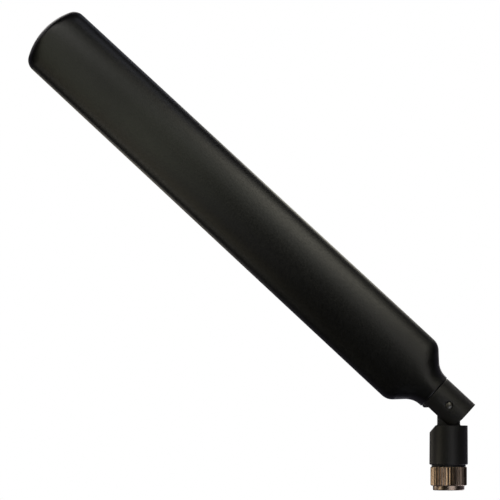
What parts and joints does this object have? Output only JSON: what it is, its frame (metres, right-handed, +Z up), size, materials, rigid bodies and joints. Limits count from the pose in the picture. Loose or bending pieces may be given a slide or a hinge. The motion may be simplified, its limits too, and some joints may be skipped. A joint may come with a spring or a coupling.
{
  "type": "omnidirectional antenna",
  "caption": "Flat black paddle antenna that tilts on a hinged swivel base above a knurled SMA plug.",
  "frame": {"origin": "centre of the SMA plug's reference plane, the end face of its outer contact, where the mating jack seats", "axes": "+Z up the plug's axis into the antenna, away from the jack; the hinge pin lies along Y and the paddle tilts from +Z towards -X, 47.15 degrees at rest"},
  "size_m": [0.1146, 0.0098, 0.1227],
  "materials": {
    "radome_plastic": "fine moulded texture, satin black",
    "hinge_plastic": "moulded satin black",
    "nut_plating": "nickel over brass, straight knurl",
    "body_plating": "nickel over turned brass",
    "gold_plating": "gold over brass",
    "ptfe": "turned PTFE",
    "spring_bronze": "rolled phosphor bronze",
    "nylon": "moulded nylon",
    "pin_steel": "drawn stainless steel",
    "ferrule_brass": "drawn brass",
    "cable_jacket": "extruded FEP",
    "tinned_braid": "tinned copper braid",
    "cable_core": "extruded FEP",
    "silvered_wire": "silver-plated copper",
    "board_laminate": "glass-epoxy laminate with solder mask",
    "board_copper": "etched copper",
    "solder": "tin solder",
    "chip_ceramic": "sintered ceramic",
    "chip_ferrite": "moulded ferrite",
    "foam": "die-cut polyurethane foam"
  },
  "bodies": {
    "plug": {"connector_body": "body_plating", "centre_contact": "gold_plating", "ptfe_insulator": "ptfe", "nut_retaining_ring": "spring_bronze", "swivel_retaining_ring": "spring_bronze", "thrust_washer": "nylon", "crimp_ferrule": "ferrule_brass", "coax_lower": "cable_jacket", "coax_braid_lower": "tinned_braid", "coax_core_lower": "cable_core", "coax_wire_lower": "silvered_wire"},
    "nut": {"coupling_nut": "nut_plating"},
    "base": {"swivel_base": "hinge_plastic", "coax_flex": "cable_jacket"},
    "paddle": {"hinge_knuckle": "hinge_plastic", "hinge_pin_front": "pin_steel", "hinge_pin_back": "pin_steel", "radome_front": "radome_plastic", "radome_back": "radome_plastic", "antenna_board": "board_laminate", "ground_arm": "board_copper", "feed_pad": "board_copper", "low_band_arm": "board_copper", "high_band_arm": "board_copper", "matching_capacitor": "chip_ceramic", "matching_inductor": "chip_ferrite", "shield_solder": "solder", "feed_solder": "solder", "foam_pad_front": "foam", "foam_pad_back": "foam", "coax_upper": "cable_jacket", "coax_braid_upper": "tinned_braid", "coax_core_upper": "cable_core", "coax_wire_upper": "silvered_wire"}
  },
  "joints": [
    {"name": "nut_spin", "type": "hinge", "parent": "plug", "child": "nut", "pos_m": [0, 0, 0], "axis": [0, 0, 1], "continuous": true},
    {"name": "base_swivel", "type": "hinge", "parent": "plug", "child": "base", "pos_m": [0, 0, 0.0085], "axis": [0, 0, 1], "range_deg": [-180, 180]},
    {"name": "paddle_tilt", "type": "hinge", "parent": "base", "child": "paddle", "pos_m": [0, 0, 0.0188], "axis": [0, -1, 0], "range_deg": [-47.15, 42.85], "deforming": ["coax_flex"]}
  ]
}
